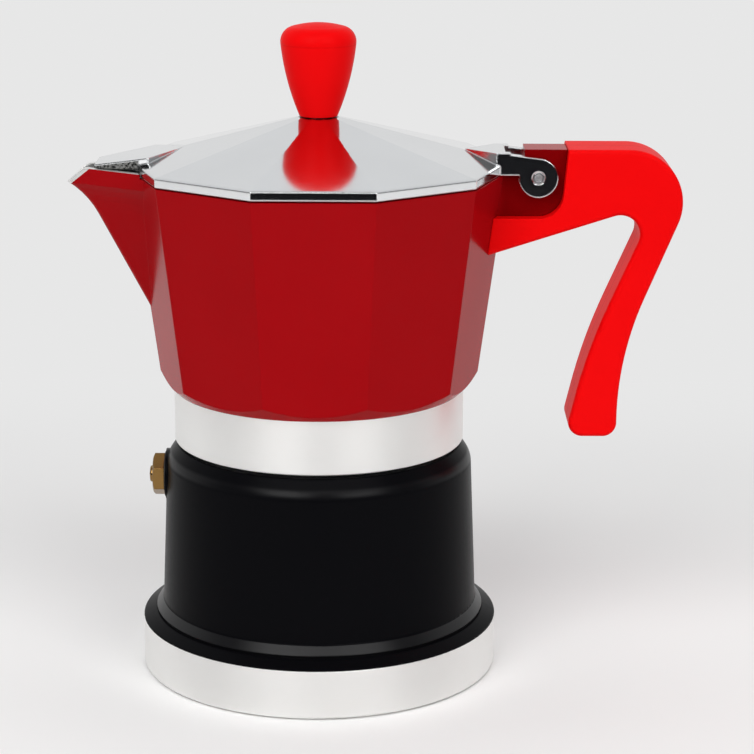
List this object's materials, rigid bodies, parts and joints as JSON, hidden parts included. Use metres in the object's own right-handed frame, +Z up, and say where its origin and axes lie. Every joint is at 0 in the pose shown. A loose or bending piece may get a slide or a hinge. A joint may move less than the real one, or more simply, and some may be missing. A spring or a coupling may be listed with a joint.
{
  "type": "moka pot",
  "caption": "Faceted stovetop moka coffee pot: screw-on red jug with a hooded spout and hinged polished lid, over a black boiler with a pressure valve and a coffee funnel inside.",
  "frame": {"origin": "on the pot's axis, at the underside of its base", "axes": "+Z up along the axis, +X towards the handle, -X towards the spout and the valve"},
  "size_m": [0.151, 0.09, 0.1628],
  "materials": {
    "black_enamel": "satin black coat on cast aluminium, bare turned foot band",
    "red_enamel": "gloss red coat on cast aluminium, bare turned collar",
    "polished_aluminium": "polished",
    "plain_aluminium": "satin",
    "steel_disc": "ground",
    "spring_steel": "bright",
    "fastener_steel": "bright",
    "brass": "turned",
    "washer_rubber": "matte black",
    "gasket_rubber": "matte white",
    "red_plastic": "satin red"
  },
  "bodies": {
    "boiler": {"boiler": "black_enamel", "induction_disc": "steel_disc", "valve_body": "brass", "valve_washer": "washer_rubber", "valve_spring": "spring_steel", "valve_retainer": "brass", "funnel": "plain_aluminium", "funnel_filter": "plain_aluminium"},
    "poppet": {"valve_poppet": "brass"},
    "seal": {"gasket": "gasket_rubber", "filter_plate": "plain_aluminium"},
    "jug": {"collector": "red_enamel", "handle": "red_plastic", "hinge_pin": "fastener_steel"},
    "lid": {"lid": "polished_aluminium", "knob": "red_plastic", "knob_screw": "fastener_steel", "knob_washer": "fastener_steel"}
  },
  "joints": [
    {"name": "collector_rise", "type": "slide", "parent": "boiler", "child": "seal", "axis": [0, 0, 1], "range_m": [0, 0.009]},
    {"name": "collector_twist", "type": "hinge", "parent": "seal", "child": "jug", "pos_m": [0, 0, 0.066], "axis": [0, 0, 1], "range_deg": [0, 1080]},
    {"name": "lid_hinge", "type": "hinge", "parent": "jug", "child": "lid", "pos_m": [0.0537, 0, 0.1261], "axis": [0, 1, 0], "range_deg": [0, 95]},
    {"name": "valve_lift", "type": "slide", "parent": "boiler", "child": "poppet", "axis": [-1, 0, 0], "range_m": [0, 0.001], "stiffness_N_per_m": 600, "springref_m": -0.001, "deforming": ["valve_spring"]}
  ],
  "couplings": [
    {"joint": "collector_rise", "follows": "collector_twist", "m_per_rad": 0.00047746}
  ]
}
